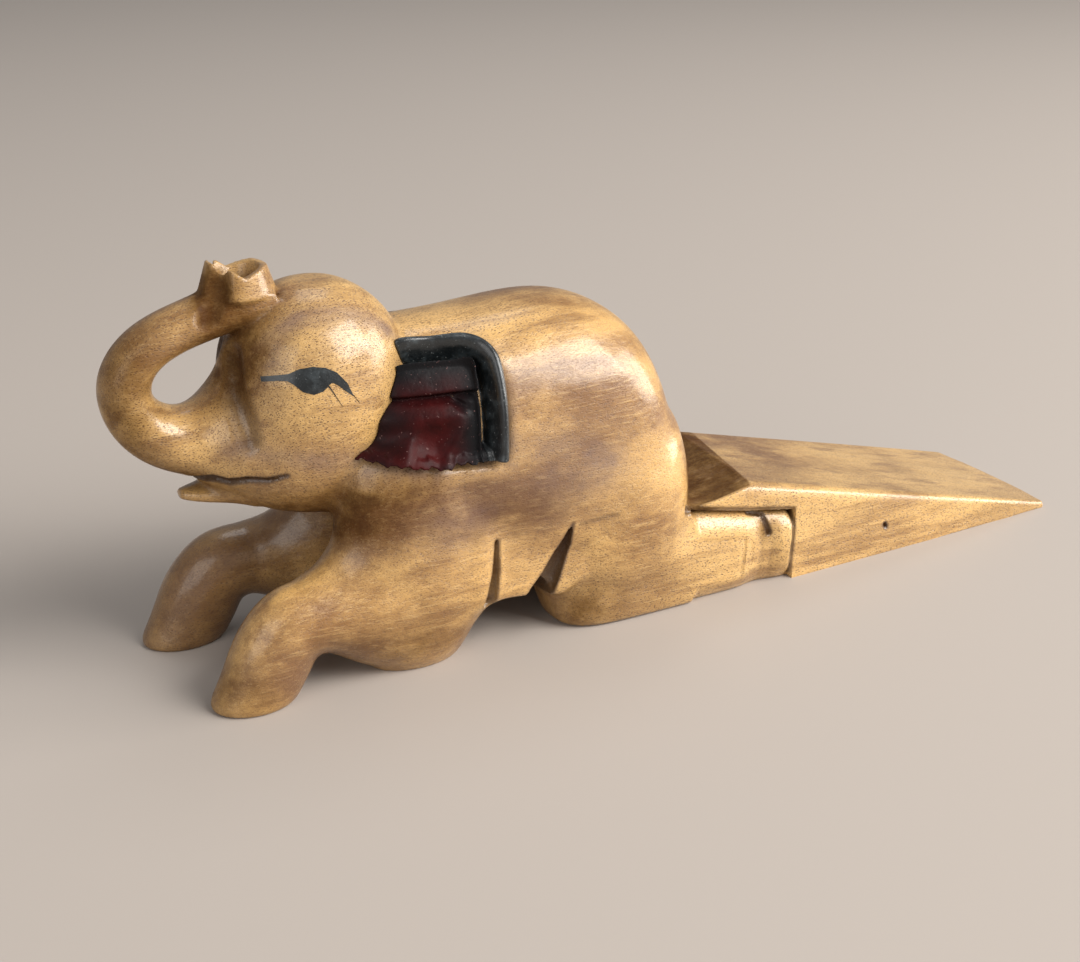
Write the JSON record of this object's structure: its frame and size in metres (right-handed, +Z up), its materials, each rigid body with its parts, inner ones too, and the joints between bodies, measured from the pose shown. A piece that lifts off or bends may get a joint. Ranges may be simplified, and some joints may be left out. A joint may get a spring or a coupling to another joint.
{
  "type": "door wedge",
  "caption": "Hand-carved wooden door wedge: a kneeling elephant with a raised trunk whose hind legs run back along a long ramp that slides under a door.",
  "frame": {"origin": "centre of the footprint's bounding box, on the surface that the wedge rests on", "axes": "+X runs from the trunk to the thin end of the ramp, -Y is the elephant's left side, +Z is up"},
  "size_m": [0.3006, 0.0662, 0.1128],
  "materials": {
    "wood": "oiled and varnished hardwood",
    "black_lacquer": "gloss black lacquer on wood",
    "red_lacquer": "gloss dark red lacquer on wood, shaded to black at the edges"
  },
  "bodies": {
    "root": {"torso": "wood", "head": "wood", "lower_jaw": "wood", "trunk": "wood", "wedge": "wood", "foreleg_left": "wood", "foreleg_right": "wood", "hind_leg_left": "wood", "hind_leg_right": "wood", "hind_foot_left": "wood", "hind_foot_right": "wood", "ear_field_left": "red_lacquer", "ear_field_right": "red_lacquer", "ear_rim_left": "black_lacquer", "ear_rim_right": "black_lacquer", "eye_left": "black_lacquer", "eye_right": "black_lacquer"}
  },
  "joints": []
}
